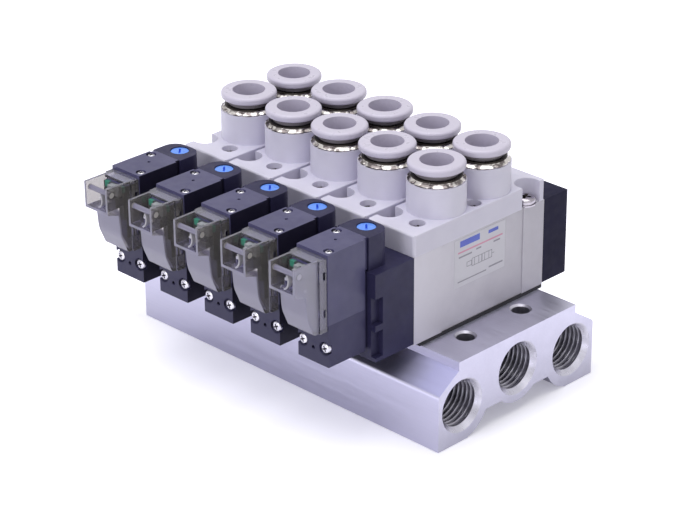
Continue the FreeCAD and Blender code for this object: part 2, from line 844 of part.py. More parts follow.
def light_cover():
    """The smoked cover, with the socket open to the front and top and the rounded chin below."""
    wall = at.cover_wall
    chin_top = pilot_front - at.chin_top_length
    chin_middle = pilot_front - at.chin_bend_length
    chin_foot = pilot_front - at.chin_foot_length
    seam = pilot_front - at.cover_flange_length
    bend = cover_bottom + at.chin_bend_height
    outline = [
        (seam, cover_bottom),
        (chin_foot, cover_bottom),
        (chin_middle, bend),
        (chin_top, socket_bottom - at.chin_step),
        (cover_front, socket_bottom),
        (cover_front, socket_top),
        (seam, socket_top),
    ]
    nose = pad("cover_nose", outline, "YZ_Plane", at.cover_width)
    rounded(nose, "chin_curve", lambda edge: runs_across(edge, chin_middle, bend), at.chin_round)
    rounded(nose, "chin_edge", lambda edge: runs_across(edge, chin_foot, cover_bottom), at.chin_foot_round)
    half = at.cover_flange_width / 2
    flange = box("cover_flange", (-half, half), (seam, pilot_front), (cover_bottom, socket_top))
    inner = at.cover_width / 2 - wall
    span = (-inner, inner)
    hollow_outline = [
        (pilot_front, cover_bottom + wall),
        (chin_foot + wall, cover_bottom + wall),
        (chin_middle + wall, bend),
        (chin_top + wall, socket_bottom - at.chin_step),
        (chin_top + wall, socket_top - wall),
        (pilot_front, socket_top - wall),
    ]
    rear_hollow = pad("rear_hollow", hollow_outline, "YZ_Plane", inner * 2)
    floor = socket_bottom + wall
    socket = box("socket", span, (cover_front, chin_top + wall), (floor, socket_top))
    window = (chin_top + wall, pilot_front - at.strip_length)
    skylight = box("skylight", span, window, (floor, socket_top))
    tools = [rear_hollow, socket, skylight]
    for name, level in (("upper", at.upper_latch), ("lower", at.lower_latch)):
        along = pilot_front - at.latch_setback
        slot = (along - at.latch_width / 2, along + at.latch_width / 2)
        upright = (cover_bottom + level, cover_bottom + level + at.latch_height)
        tools.append(box(f"latch_{name}", (-half, half), slot, upright))
    shell = cut("cover_shell", fuse("cover_solid", nose, flange), *tools)
    start = (-at.cover_width / 2, cover_front + at.bar_setback, socket_top - at.bar_drop)
    latch_bar = rod("latch_bar", at.bar_radius, at.cover_width, start, "X")
    return fuse("cover", shell, latch_bar)


def socket_board():
    """The green board that stands in front of the terminal block."""
    half = at.terminal_width / 2
    rear = pilot_front - at.terminal_length
    top = coil_bottom + at.terminal_foot + at.terminal_height
    return box("board", (-half, half), (rear - at.board_thickness, rear), (top - at.board_height, top))


def contact_pins():
    """Two square pins that point out of the board into the socket."""
    rear = pilot_front - at.terminal_length - at.board_thickness
    level = socket_bottom + at.cover_wall + at.pin_drop
    half = at.pin_side / 2
    pins = []
    for side in (-1, 1):
        middle = at.pin_spacing / 2 * side
        span = (middle - half, middle + half)
        pins.append(box(f"pin_{side + 1}", span, (rear - at.pin_length, rear), (level, level + at.pin_side)))
    return group("pins", *pins)


# Screws

def mount_screws():
    """The two screws that hold one valve on the bar."""
    screws = []
    for number, (x, y) in enumerate(mount_screw_places()):
        bottom = at.deck_height - at.mount_grip
        shank = rod(f"mount_shank_{number}", at.mount_shank_radius, body_top - bottom, (x, y, bottom))
        head = rod(f"mount_head_{number}", at.mount_head_radius, at.mount_head_height, (x, y, body_top))
        screws.append(fuse(f"mount_screw_{number}", shank, head))
    return group("mount_screws", *screws)


def block_screws():
    """The four screws that hold one port block on its body."""
    floor = block_top - at.screw_hole_depth
    bottom = body_top - at.cover_grip
    screws = []
    for number, (x, y, _) in enumerate(block_screw_places()):
        shank = rod(f"block_shank_{number}", at.cover_shank_radius, floor - bottom, (x, y, bottom))
        head = rod(f"block_head_{number}", at.cover_head_radius, at.cover_head_height, (x, y, floor))
        screws.append(fuse(f"block_screw_{number}", shank, head))
    return group("block_screws_master", *screws)


def pilot_screws():
    """The two screws through the coil and the two through the lower pilot."""
    screws = []
    floor = pilot_top - at.pilot_sink_depth
    bottom = coil_bottom - at.coil_grip
    for number, (x, y) in enumerate(top_screw_places()):
        shank = rod(f"top_shank_{number}", at.pilot_shank_radius, floor - bottom, (x, y, bottom))
        head = rod(f"top_head_{number}", at.pilot_head_radius, at.pilot_head_height, (x, y, floor))
        screws.append(fuse(f"top_screw_{number}", shank, head))
    floor = pilot_front + at.pilot_sink_depth
    for side in (-1, 1):
        x = at.front_screw_offset * side
        reach = pilot_rear + at.pilot_grip - floor
        level = front_screw_level
        shank = rod(f"front_shank_{side + 1}", at.pilot_shank_radius, reach, (x, floor, level), "Y")
        start = (x, floor - at.pilot_head_height, level)
        head = rod(f"front_head_{side + 1}", at.pilot_head_radius, at.pilot_head_height, start, "Y")
        screws.append(fuse(f"front_screw_{side + 1}", shank, head))
    return group("pilot_screws_master", *screws)


# All pieces of the bank

def build():
    """Makes every piece and gives the list of those that are written out."""
    nodes = base_bar()
    nodes += at_stations("valve_body", valve_body())
    nodes += at_stations("spool", spool())
    nodes += at_stations("port_block", port_block())
    collar = release_collar()
    for side, y in (("front", -at.fitting_offset), ("rear", at.fitting_offset)):
        nodes += at_stations(f"{side}_collar", moved(f"collar_{side}", collar, ZERO, y))
    sleeve = fitting_sleeve()
    pair = [
        moved(f"sleeve_{side}", sleeve, ZERO, y)
        for side, y in (("front", -at.fitting_offset), ("rear", at.fitting_offset))
    ]
    nodes.append(one_group("fitting_sleeves", group("sleeve_pair", *pair)))
    nodes.append(one_group("body_gaskets", gasket()))
    nodes.append(one_group("end_caps", end_cap()))
    nodes.append(one_group("pilot_adapters", adapter()))
    nodes += at_stations("override_button", override_button())
    nodes += at_stations("pilot_coil", pilot_coil())
    nodes += at_stations("pilot_valve", pilot_valve())
    nodes += at_stations("pilot_core", pilot_core())
    nodes += at_stations("light_cover", light_cover())
    nodes.append(one_group("socket_boards", socket_board()))
    nodes.append(one_group("contact_pins", contact_pins()))
    nodes.append(one_group("mounting_screws", mount_screws()))
    nodes.append(one_group("block_screws", block_screws()))
    nodes.append(one_group("pilot_screws", pilot_screws()))
    return nodes


def check(document, nodes):
    """Stops at the first object that failed or whose shape is not sound."""
    for item in document.Objects:
        if {"Invalid", "Error"} & set(item.State):
            raise RuntimeError(f"{item.Label} failed")
    for node in nodes:
        if node.Shape.isNull() or not node.Shape.isValid():
            raise RuntimeError(f"{node.Label} has no sound shape")


pieces = build()
doc.recompute()
check(doc, pieces)
os.makedirs("parts", exist_ok=True)
for piece in pieces:
    piece.Shape.exportStep(f"parts/{piece.Label}.step")
print(len(pieces), "nodes,", sum(len(piece.Shape.Solids) for piece in pieces), "solids")
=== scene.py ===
"""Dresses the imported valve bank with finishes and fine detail, and sets up the studio and camera."""
import math

import bmesh
import bpy
from mathutils import Matrix, Vector


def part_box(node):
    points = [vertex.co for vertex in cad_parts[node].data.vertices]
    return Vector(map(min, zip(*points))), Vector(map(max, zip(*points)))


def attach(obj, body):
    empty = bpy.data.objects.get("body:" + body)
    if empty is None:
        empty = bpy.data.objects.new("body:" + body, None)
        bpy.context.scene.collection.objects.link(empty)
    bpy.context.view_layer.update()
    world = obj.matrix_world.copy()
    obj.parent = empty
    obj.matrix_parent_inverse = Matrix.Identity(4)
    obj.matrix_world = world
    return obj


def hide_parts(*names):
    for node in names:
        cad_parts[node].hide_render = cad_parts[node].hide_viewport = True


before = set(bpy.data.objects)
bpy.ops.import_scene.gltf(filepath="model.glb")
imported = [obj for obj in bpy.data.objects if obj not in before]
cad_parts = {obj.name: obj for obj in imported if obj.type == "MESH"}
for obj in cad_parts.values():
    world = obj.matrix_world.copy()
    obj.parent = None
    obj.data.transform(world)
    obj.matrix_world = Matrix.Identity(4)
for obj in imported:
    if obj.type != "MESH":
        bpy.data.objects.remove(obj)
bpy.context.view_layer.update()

MM = 0.001
STATIONS = range(1, 6)
MIDDLE = 3
SIDES = (-1, 1)
BANK = "bank"


# Places that the solids give, in millimetres

def box_of(node):
    """The low and the high corner of a CAD node's box, to the nearest micrometre."""
    return [tuple(round(part / MM, 3) for part in corner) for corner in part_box(node)]


def middle_of(node):
    """The middle of a CAD node's box."""
    return tuple((low + high) / 2 for low, high in zip(*box_of(node)))


VALVE_X = {k: middle_of(f"port_block_{k}")[0] for k in STATIONS}
PITCH = VALVE_X[2] - VALVE_X[1]
BAR_END, BAR_SIDE, BAR_TOP = box_of("manifold_base")[1]
PILOT_FRONT = box_of(f"pilot_valve_{MIDDLE}")[0][1]
FITTING_Y = middle_of(f"rear_collar_{MIDDLE}")[1]


# Node trees

def linear(colour):
    """A display colour of 0 to 255 as the linear colour that a socket takes."""
    return (*((part / 255) ** 2.2 for part in colour), 1.0)


class Wiring:
    """A node tree, with short ways to add nodes and to join them."""

    def __init__(self, tree):
        self.nodes = tree.nodes
        self.links = tree.links

    def feed(self, socket, value):
        """Gives a socket a plain value, or joins another node's output to it."""
        if isinstance(value, bpy.types.NodeSocket):
            self.links.new(value, socket)
        else:
            socket.default_value = value

    def add(self, kind, inputs=(), **settings):
        """Adds a node with its settings and what its inputs take; a name or number stands for each input."""
        node = self.nodes.new("ShaderNode" + kind)
        for name, value in settings.items():
            setattr(node, name, value)
        for socket, value in dict(inputs).items():
            self.feed(node.inputs[socket], value)
        return node

    def part(self, axis, vector):
        """One coordinate of a vector."""
        return self.add("SeparateXYZ", {"Vector": vector}).outputs[axis]

    def joined(self, operation, *values):
        """One value from others, by an operation such as SUBTRACT or SQRT."""
        return self.add("Math", enumerate(values), operation=operation).outputs[0]

    def size(self, value):
        """A value without its sign."""
        return self.joined("ABSOLUTE", value)

    def times(self, first, *others):
        """The product of masks, which is 1 where all of them are; a plain number makes it fainter."""
        for other in others:
            first = self.joined("MULTIPLY", first, other)
        return first

    def greatest(self, first, *others):
        """The greatest of masks, which is 1 where one of them is."""
        for other in others:
            first = self.joined("MAXIMUM", first, other)
        return first

    def between(self, value, start, end, low=0.0, high=1.0):
        """Runs from low to high while a value goes from start to end, and stays there beyond them."""
        inputs = {"Value": value, "From Min": start, "From Max": end, "To Min": low, "To Max": high}
        return self.add("MapRange", inputs).outputs[0]

    def by_ray(self, others, mirrored, seen):
        """A strength as it lights the rest, as a reflection shows it, and as the camera or glass sees it."""
        ray = self.add("LightPath").outputs
        strength = self.between(ray["Is Glossy Ray"], 0.0, 1.0, others, mirrored)
        clear = self.greatest(ray["Is Camera Ray"], ray["Is Transmission Ray"])
        return self.between(clear, 0.0, 1.0, strength, seen)


# Finishes

class Finish(Wiring):
    """A material that is built from nodes, with the object's own coordinates to hand."""

    NOISE_SPAN = (0.35, 0.65)
    MASK_SPAN = (0.0, 1.0)

    def __init__(self, name):
        self.material = bpy.data.materials.new(name)
        self.material.use_nodes = True
        super().__init__(self.material.node_tree)
        self.shader = self.nodes["Principled BSDF"]
        coordinates = self.add("TexCoord").outputs
        self.place = coordinates["Object"]
        self.normal = coordinates["Normal"]

    def set(self, **sockets):
        """Sets plain values on the shader."""
        for name, value in sockets.items():
            self.feed(self.shader.inputs[name.replace("_", " ")], value)
        return self

    def noise(self, scale, detail, stretch=(1, 1, 1)):
        """Noise in metres: scale is how many features fit in a metre."""
        mapped = self.add("Mapping", {"Vector": self.place, "Scale": stretch}).outputs["Vector"]
        return self.add("TexNoise", {"Vector": mapped, "Scale": scale, "Detail": detail}).outputs["Fac"]

    def vary(self, socket, source, low, high, span=NOISE_SPAN):
        """Runs one of the shader's sockets between two values or two colours, over a span of the source."""
        ramp = self.add("ValToRGB", {"Fac": source})
        for stop, position, value in zip(ramp.color_ramp.elements, span, (low, high)):
            stop.position = position
            stop.color = linear(value) if isinstance(value, tuple) else (value, value, value, 1.0)
        self.feed(self.shader.inputs[socket], ramp.outputs["Color"])
        return self

    def blend(self, socket, mask, low, high):
        """Turns one of the shader's sockets from low to high where the mask is 1."""
        return self.vary(socket, mask, low, high, self.MASK_SPAN)

    def over(self, mask, colour):
        """Lays a colour over the base colour where the mask is 1."""
        factor, under, upper, result = 0, 6, 7, 2
        base = self.shader.inputs["Base Color"]
        inputs = {factor: mask, under: base.links[0].from_socket, upper: linear(colour)}
        self.feed(base, self.add("Mix", inputs, data_type="RGBA").outputs[result])
        return self

    def relief(self, height, strength, distance):
        """Adds a bump on top of the bumps before it."""
        bump = self.add("Bump", {"Height": height, "Strength": strength, "Distance": distance * MM})
        normal = self.shader.inputs["Normal"]
        if normal.is_linked:
            self.feed(bump.inputs["Normal"], normal.links[0].from_socket)
        self.feed(normal, bump.outputs["Normal"])
        return self

    def at(self, axis):
        """The place along an axis."""
        return self.part(axis, self.place)

    def facing(self, axis):
        """How squarely the surface looks along an axis, from -1 to 1."""
        return self.part(axis, self.normal)

    def sideways(self):
        """The place along the bar as measured from the nearest valve's middle."""
        half = PITCH / 2 * MM
        return self.joined("WRAP", self.at("X"), half, -half)

    def within(self, place, start, end):
        """A mask that is 0 at one place and 1 at another, both in millimetres."""
        return self.between(place, start * MM, end * MM)

    def away_from_bar(self, start, end, near, far):
        """Runs from near to far between two distances from the bar's footprint, in millimetres."""
        beyond_end = self.joined("SUBTRACT", self.size(self.at("X")), BAR_END * MM)
        beyond_side = self.joined("SUBTRACT", self.size(self.at("Y")), BAR_SIDE * MM)
        return self.between(self.greatest(beyond_end, beyond_side), start * MM, end * MM, near, far)

    def near_line(self, y, z, radius):
        """A mask that is 1 within a radius of a line along X."""
        shift = {"Vector": self.place, "Location": (0, -y * MM, -z * MM), "Scale": (0, 1, 1)}
        shifted = self.add("Mapping", shift).outputs["Vector"]
        length = self.add("VectorMath", {0: shifted}, operation="LENGTH").outputs["Value"]
        return self.within(length, radius * 1.1, radius)

    def in_gap(self):
        """A mask that is 1 on the side faces that look into a gap between two valves."""
        side = self.facing("X")
        sideward = self.between(self.size(side), 0.7, 0.9)
        outward = self.times(self.at("X"), side)
        last_valve, fade = 2 * PITCH, 2.0
        return self.times(sideward, self.within(outward, last_valve, last_valve - fade))


def satin(name, roughness, grain=0.12, grain_scale=2600):
    """Moulded plastic with a fine spark-eroded skin and faint flow marks, still without its colour."""
    finish = Finish(name)
    finish.vary("Roughness", finish.noise(500, detail=3), roughness - 0.05, roughness + 0.06)
    finish.relief(finish.noise(90, detail=2), strength=0.12, distance=0.12)
    return finish.relief(finish.noise(grain_scale, detail=2), strength=grain, distance=0.03)


def moulded(name, light, dark, *skin):
    """Moulded plastic whose colour drifts between two tones; skin is the rest of what satin takes."""
    finish = satin(name, *skin)
    return finish.vary("Base Color", finish.noise(140, detail=4), dark, light)


def grained(name, roughness, grain_scale, stretch, strength):
    """Bare or plated metal with a directional grain, still without its colour."""
    finish = Finish(name).set(Metallic=1.0)
    grain = finish.noise(grain_scale, detail=5, stretch=stretch)
    finish.vary("Roughness", grain, roughness - 0.05, roughness + 0.08)
    return finish.relief(grain, strength, distance=0.02)


def metal(name, light, dark, *grain):
    """Metal whose colour drifts between two tones; grain is the rest of what grained takes."""
    finish = grained(name, *grain)
    return finish.vary("Base Color", finish.noise(260, detail=4), dark, light)


def anodised_bar():
    """The extruded bar, with painted light on its ledges' ends, painted shade on its front ledge under the
    pilots and on its deck's risers, and a bluer painted reflection on its front.
    """
    finish = metal("anodised_extrusion", (208, 206, 225), (203, 201, 220), 0.42, 2600, (0.02, 1, 1), 0.06)
    finish.relief(finish.noise(2400, detail=2), strength=0.06, distance=0.01)
    across, along = finish.at("Y"), finish.size(finish.at("X"))
    deck_side, riser_foot, blur, rounding = 21.0, 19.0, 0.1, 0.2
    upward = finish.between(finish.facing("Z"), 0.45, 0.75)
    ledge = finish.times(upward, finish.within(finish.size(across), deck_side - blur, deck_side + blur))
    painted_light_ledge_ends = finish.times(ledge, finish.within(along, 34, 46))
    in_front = finish.within(across, blur - deck_side, -blur - deck_side)
    painted_shade_under_pilots = finish.times(ledge, in_front, finish.within(along, 44, 36))
    steep = finish.between(finish.size(finish.facing("Y")), 0.8, 0.95)
    painted_shade_riser = finish.times(steep, finish.within(finish.at("Z"), riser_foot - blur, riser_foot + blur))
    forward = finish.between(finish.facing("Y"), -0.8, -0.95)
    front = finish.times(forward, finish.within(across, rounding - BAR_SIDE, rounding / 4 - BAR_SIDE))
    # Painted light and shade: a bluer painted reflection on the front, painted shade under the pilots and on
    # the risers, and painted light on the ledges' ends, where the metal also turns partly matt.
    finish.over(front, (208, 206, 230)).over(painted_shade_under_pilots, (150, 148, 166))
    finish.over(painted_shade_riser, (180, 178, 200)).over(painted_light_ledge_ends, (200, 199, 242))
    return finish.blend("Metallic", painted_light_ledge_ends, 1.0, 0.35)


def painted_casting():
    """The metal bodies, with painted light towards the front of their sides and painted shade towards the
    back.
    """
    finish = Finish("painted_casting").set(Metallic=0.25)
    finish.vary("Base Color", finish.noise(180, detail=4), (190, 187, 196), (198, 195, 203))
    side = finish.between(finish.size(finish.facing("X")), 0.8, 0.95)
    middle, front, rear = -2, -22, 20
    # Painted light on the sides' front half and painted shade on their rear half.
    finish.over(finish.times(side, finish.within(finish.at("Y"), middle, front)), (208, 205, 215))
    finish.over(finish.times(side, finish.within(finish.at("Y"), middle, rear)), (178, 175, 184))
    finish.vary("Roughness", finish.noise(700, detail=3), 0.42, 0.55)
    return finish.relief(finish.noise(2200, detail=3), strength=0.25, distance=0.03)


def collar_moulding():
    """The white collars, with their necks darker where the ring shades them."""
    finish = satin("collar_moulding", 0.32, 0.05)
    across = finish.sideways()
    along = finish.joined("SUBTRACT", finish.size(finish.at("Y")), FITTING_Y * MM)
    square = finish.joined("ADD", finish.times(across, across), finish.times(along, along))
    bore_wall, flange_foot, blur = 4.5, 60.95, 0.05
    outside = finish.within(finish.joined("SQRT", square), bore_wall, bore_wall + 2 * blur)
    neck = finish.times(outside, finish.within(finish.at("Z"), flange_foot, flange_foot - blur))
    return finish.blend("Base Color", neck, (205, 199, 217), (126, 120, 126))


def nickel_plate():
    """The rings' plating, with dark and light patches painted into its colour as painted reflections of the
    crimping's small facets.
    """
    finish = grained("nickel_plate", 0.16, 900, (1, 1, 0.2), 0.05)
    # Painted reflections: noise patches run the plating's colour from dark to light.
    painted_reflection_patches = finish.noise(620, detail=1)
    return finish.vary("Base Color", painted_reflection_patches, (116, 109, 109), (216, 211, 208), span=(0.42, 0.58))


def board_laminate():
    """The green circuit boards, painted dark as shade, with their green shown only where light reaches them at
    both sides of the lamp.
    """
    finish = satin("board_laminate", 0.35)
    sideways = finish.sideways()
    left = finish.times(finish.within(sideways, -1.4, -1.6), finish.within(sideways, -3.0, -2.8))
    right = finish.within(sideways, 1.4, 1.7)
    # Painted shade: the board is dark but for these green patches.
    lit = finish.times(finish.greatest(left, right), finish.within(finish.at("Z"), 49.8, 50.2))
    return finish.blend("Base Color", lit, (46, 50, 52), (50, 140, 114))


def pilot_mouldings():
    """The coils' and the lower pilots' black, with painted shade on the side faces in the gaps between the
    valves and on the lower pilots' front faces.
    """
    coil = moulded("pilot_moulding", (80, 78, 112), (73, 71, 104), 0.38).set(Specular_IOR_Level=0.4)
    # Painted shade on the coils' sides in the gaps.
    coil.over(coil.in_gap(), (38, 36, 54))
    lower = moulded("pilot_valve_moulding", (69, 67, 97), (62, 60, 89), 0.4).set(Specular_IOR_Level=0.25)
    # Painted shade on the lower pilots' front faces and on their sides in the gaps.
    lower.over(lower.between(lower.facing("Y"), -0.3, -0.7), (50, 48, 76))
    lower.over(lower.in_gap(), (34, 32, 48))
    return coil, lower


def smoked_clear():
    """The smoked covers: clear, but frosted on the chin, rim, latch bar, crown and sides; the sides that look
    into a gap are clearer and warmer as painted shade, and the open sides' flange is darker as painted shade.
    """
    finish = Finish("smoked_clear").set(IOR=1.46, Coat_Weight=0.15, Coat_Roughness=0.08)
    y, z = finish.at("Y"), finish.at("Z")
    narrow = finish.within(finish.size(finish.sideways()), 4.3, 4.2)
    chin = finish.times(finish.within(z, 46.4, 45.8), narrow)
    rim = finish.times(finish.within(y, -58.2, -58.45), 0.42)
    front = finish.times(finish.between(finish.facing("Y"), -0.3, -0.6), finish.greatest(chin, rim))
    latch_bar = finish.near_line(-57.1, 50.8, 0.68)
    crown = finish.times(finish.between(finish.facing("Z"), 0.7, 0.9), finish.within(z, 52.4, 52.6))
    painted_shade_gap_side = finish.in_gap()
    sideward = finish.between(finish.size(finish.facing("X")), 0.7, 0.9)
    open_side = finish.joined("SUBTRACT", sideward, painted_shade_gap_side)
    painted_shade_flange = finish.times(open_side, finish.within(y, -51.5, -51.3))
    frosted = finish.greatest(
        front, latch_bar, finish.times(crown, 0.2), finish.times(open_side, 0.4), finish.times(painted_shade_gap_side, 0.16),
    )
    finish.blend("Base Color", frosted, (200, 198, 222), (134, 131, 154))
    # Painted shade: a warm tint and less frost on the sides in the gaps, and a darker flange on the open
    # sides.
    finish.over(painted_shade_gap_side, (192, 188, 186)).over(open_side, (189, 187, 208)).over(painted_shade_flange, (160, 157, 180))
    finish.blend("Transmission Weight", frosted, 0.965, 0.15)
    finish.vary("Roughness", finish.noise(260, detail=2), 0.06, 0.12)
    return finish.relief(finish.noise(110, detail=2), strength=0.05, distance=0.08)


anodised = anodised_bar()
mouth = metal("turned_chamfer", (212, 210, 224), (192, 190, 204), 0.3, 1800, (0.3, 1, 1), 0.08)
# Machined metal for the threads and bolt holes, darker than the bar as painted shade in the holes.
bore_with_painted_shade = metal("machined_bore_painted_shade", (190, 188, 200), (170, 168, 180), 0.38, 1800, (0.3, 1, 1), 0.1)
cast = painted_casting()
white = moulded("white_moulding", (219, 216, 233), (214, 211, 229), 0.4, 0.08)
white.set(Subsurface_Weight=0.12, Subsurface_Scale=1 * MM, Subsurface_Radius=(1.0, 0.9, 0.9))
collar_white = collar_moulding()
black = moulded("black_moulding", (51, 49, 78), (45, 43, 70), 0.42).set(Specular_IOR_Level=0.22)
cap_black = moulded("cap_moulding", (31, 29, 54), (26, 24, 47), 0.5).set(Specular_IOR_Level=0.1)
pilot_black, pilot_dark = pilot_mouldings()
button_blue = moulded("button_moulding", (106, 158, 255), (96, 148, 250), 0.3, 0.05)
rubber = moulded("gasket_rubber", (34, 33, 40), (24, 23, 30), 0.7, 0.3, 1800)
nickel = nickel_plate()
# Dark metal as painted shade, for the rings' tops under the collars and the larger screws' recesses.
shaded = metal("shaded_plate", (64, 60, 58), (48, 44, 44), 0.3, 900, (1, 1, 0.2), 0.05)
zinc = metal("zinc_plate", (218, 216, 224), (192, 190, 200), 0.28, 1400, (1, 1, 1), 0.1)
# Painted shade for the recesses of the tiny screws.
recess_painted_shade = metal("recess_painted_shade", (112, 108, 116), (84, 80, 90), 0.4, 1400, (1, 1, 1), 0.1)
steel = metal("screw_steel", (206, 202, 208), (160, 154, 164), 0.22, 1400, (1, 1, 1), 0.1)
ground = metal("ground_steel", (180, 180, 186), (150, 150, 156), 0.3, 900, (1, 0.1, 1), 0.1)
alloy = metal("spool_alloy", (205, 205, 210), (190, 190, 196), 0.25, 900, (1, 8, 1), 0.1)
board = board_laminate()
label_film = moulded("label_film", (212, 210, 220), (208, 206, 216), 0.35, 0.03)
label_blue = moulded("label_blue", (92, 108, 206), (80, 96, 196), 0.4, 0.03)
label_red = moulded("label_red", (214, 150, 176), (206, 140, 168), 0.4, 0.03)
label_grey = moulded("label_grey", (150, 148, 160), (138, 136, 150), 0.4, 0.03)
contact = moulded("contact_spring", (176, 174, 182), (162, 160, 168), 0.3, 0.05)
milky = moulded("milky_lens", (154, 157, 162), (118, 122, 128), 0.3, 0.2, 1200)
smoke = smoked_clear()

FINISHES = {
    "manifold_base": anodised,
    "valve_body": cast,
    "port_block": white,
    "front_collar": collar_white,
    "rear_collar": collar_white,
    "fitting_sleeves": nickel,
    "body_gaskets": rubber,
    "end_caps": cap_black,
    "pilot_adapters": black,
    "override_button": button_blue,
    "pilot_coil": pilot_black,
    "pilot_valve": pilot_dark,
    "pilot_core": ground,
    "spool": alloy,
    "light_cover": smoke,
    "socket_boards": board,
    "contact_pins": zinc,
    "mounting_screws": zinc,
    "block_screws": zinc,
    "pilot_screws": zinc,
}


# Finishes and soft edges on the CAD nodes

WELD_REACH = 0.002
FLAT_ANGLE = math.radians(0.5)
EDGE_WIDTHS = {"valve_body": 0.2, "pilot_coil": 0.25, "light_cover": 0.15, "pilot_adapters": 0.25}


def soften(item, width):
    """Rounds an object's sharp edges with modifiers and leaves its mesh as it is."""
    weld = item.modifiers.new("weld", "WELD")
    weld.merge_threshold = WELD_REACH * MM
    flat = item.modifiers.new("flat", "DECIMATE")
    flat.decimate_type = "DISSOLVE"
    flat.angle_limit = FLAT_ANGLE
    bevel = item.modifiers.new("bevel", "BEVEL")
    bevel.width = width * MM
    bevel.segments = 2
    bevel.limit_method = "ANGLE"
    bevel.angle_limit = math.radians(40)
    normals = item.modifiers.new("normals", "WEIGHTED_NORMAL")
    normals.keep_sharp = False


for node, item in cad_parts.items():
    kind = node[:-2] if node[-1].isdigit() else node
    for entry in item.material_slots:
        entry.material = FINISHES[kind].material
    if kind in EDGE_WIDTHS:
        soften(item, EDGE_WIDTHS[kind])


# Mesh making, in millimetres until a piece is finished

def mesh_from(bm, name):
    """Turns an edit mesh into mesh data and frees it."""
    mesh = bpy.data.meshes.new(name)
    bm.to_mesh(mesh)
    bm.free()
    return mesh


def edit_mesh(mesh):
    """An edit mesh with a copy of mesh data."""
    bm = bmesh.new()
    bm.from_mesh(mesh)
    return bm


def in_scene(name, data):
    """An object with its data, linked to the scene."""
    item = bpy.data.objects.new(name, data)
    bpy.context.scene.collection.objects.link(item)
    return item


def finished(name, bm, finishes, slot, body=BANK, sharp=38, stands_for=()):
    """Turns a mesh in millimetres into a piece that rides on a body."""
    bmesh.ops.scale(bm, vec=(MM, MM, MM), verts=bm.verts)
    mesh = mesh_from(bm, name)
    for finish in finishes:
        mesh.materials.append(finish.material)
    mesh.shade_smooth()
    mesh.set_sharp_from_angle(angle=math.radians(sharp))
    item = in_scene(name, mesh)
    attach(item, body)
    if stands_for:
        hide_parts(*stands_for)
    return item


def evened(item):
    """Evens an object's shading over its large faces."""
    even = item.modifiers.new("even", "WEIGHTED_NORMAL")
    even.keep_sharp = True


def upright(x, y, z):
    """A place with the piece's own Z upwards."""
    return Matrix.Translation((x, y, z))


# Turns a piece's own Z to the front
FORWARD = Matrix.Rotation(math.pi / 2, 4, "X")


def moved(bm, start, matrix):
    """Moves what was added to a mesh since it had start vertices."""
    bm.verts.ensure_lookup_table()
    bmesh.ops.transform(bm, matrix=matrix, verts=bm.verts[start:])


def spread(name, placed, finishes, **facts):
    """One piece made of copies: pairs of mesh data and the matrices to place it by."""
    bm = bmesh.new()
    for source, matrices in placed:
        for matrix in matrices:
            start = len(bm.verts)
            bm.from_mesh(source)
            moved(bm, start, matrix)
    return finished(name, bm, finishes, **facts)


def at_each_station(name, mesh, finish, slot, node):
    """Stands a copy of the middle station's mesh in for a node at each station."""
    for k, x in VALVE_X.items():
        place = upright(x - VALVE_X[MIDDLE], 0, 0)
        facts = {"sharp": 30, "slot": slot, "stands_for": [f"{node}_{k}"]}
        evened(spread(f"{name}_{k}", [(mesh, [place])], [finish], **facts))


def turned(bm, outline, steps, reach=None):
    """Adds the solid that a closed outline of (radius, height) points sweeps about Z.

    A point on the axis becomes one vertex. reach gives a factor for the radius from angle and point number.
    """
    rings = []
    for number, (radius, height) in enumerate(outline):
        if radius == 0:
            rings.append([bm.verts.new((0, 0, height))] * steps)
            continue
        ring = []
        for step in range(steps):
            angle = math.tau * step / steps
            actual = radius * (reach(angle, number) if reach else 1)
            ring.append(bm.verts.new((actual * math.cos(angle), actual * math.sin(angle), height)))
        rings.append(ring)
    for number, ring in enumerate(rings):
        after = rings[(number + 1) % len(rings)]
        for step in range(steps):
            follow = (step + 1) % steps
            corners = list(dict.fromkeys((ring[step], ring[follow], after[follow], after[step])))
            if len(corners) > 2:
                bm.faces.new(corners)


def lofted(bm, rings, material=0):
    """Adds the closed solid that runs through rings of points, which all have as many points."""
    rings = [[bm.verts.new(point) for point in ring] for ring in rings]
    faces = [bm.faces.new(rings[0]), bm.faces.new(reversed(rings[-1]))]
    for first, second in zip(rings, rings[1:]):
        for corner in range(len(first)):
            after = (corner + 1) % len(first)
            faces.append(bm.faces.new((first[corner], first[after], second[after], second[corner])))
    for face in faces:
        face.material_index = material


def block(bm, low, high, turn=None, material=0):
    """Adds a box between two corners, and turns it about the origin."""
    made = bmesh.ops.create_cube(bm, size=1)["verts"]
    size = Vector(high) - Vector(low)
    middle = (Vector(high) + Vector(low)) / 2
    for vert in made:
        vert.co = Vector(a * b for a, b in zip(vert.co, size)) + middle
        if turn:
            vert.co = turn @ vert.co
    for face in {face for vert in made for face in vert.link_faces}:
        face.material_index = material


def cad_copy(node):
    """A clean copy of a CAD node's mesh in millimetres, with its flat faces whole."""
    bm = edit_mesh(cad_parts[node].data)
    bmesh.ops.scale(bm, vec=(1 / MM, 1 / MM, 1 / MM), verts=bm.verts)
    bmesh.ops.remove_doubles(bm, verts=bm.verts, dist=WELD_REACH)
    bmesh.ops.dissolve_limit(bm, angle_limit=FLAT_ANGLE, verts=bm.verts, edges=bm.edges)
    return bm


def carved(bm, tool):
    """Takes one mesh away from another and gives the result as mesh data with two material slots."""
    items = []
    for part in (bm, tool):
        bmesh.ops.recalc_face_normals(part, faces=part.faces)
        mesh = mesh_from(part, "carving")
        mesh.materials.append(None)
        mesh.materials.append(None)
        items.append(in_scene("carving", mesh))
    base, cutter = items
    step = base.modifiers.new("cut", "BOOLEAN")
    step.operation = "DIFFERENCE"
    step.solver = "EXACT"
    step.object = cutter
    graph = bpy.context.evaluated_depsgraph_get()
    result = bpy.data.meshes.new_from_object(base.evaluated_get(graph))
    for item in items:
        bpy.data.objects.remove(item)
    return result


# Screws with a cross recess

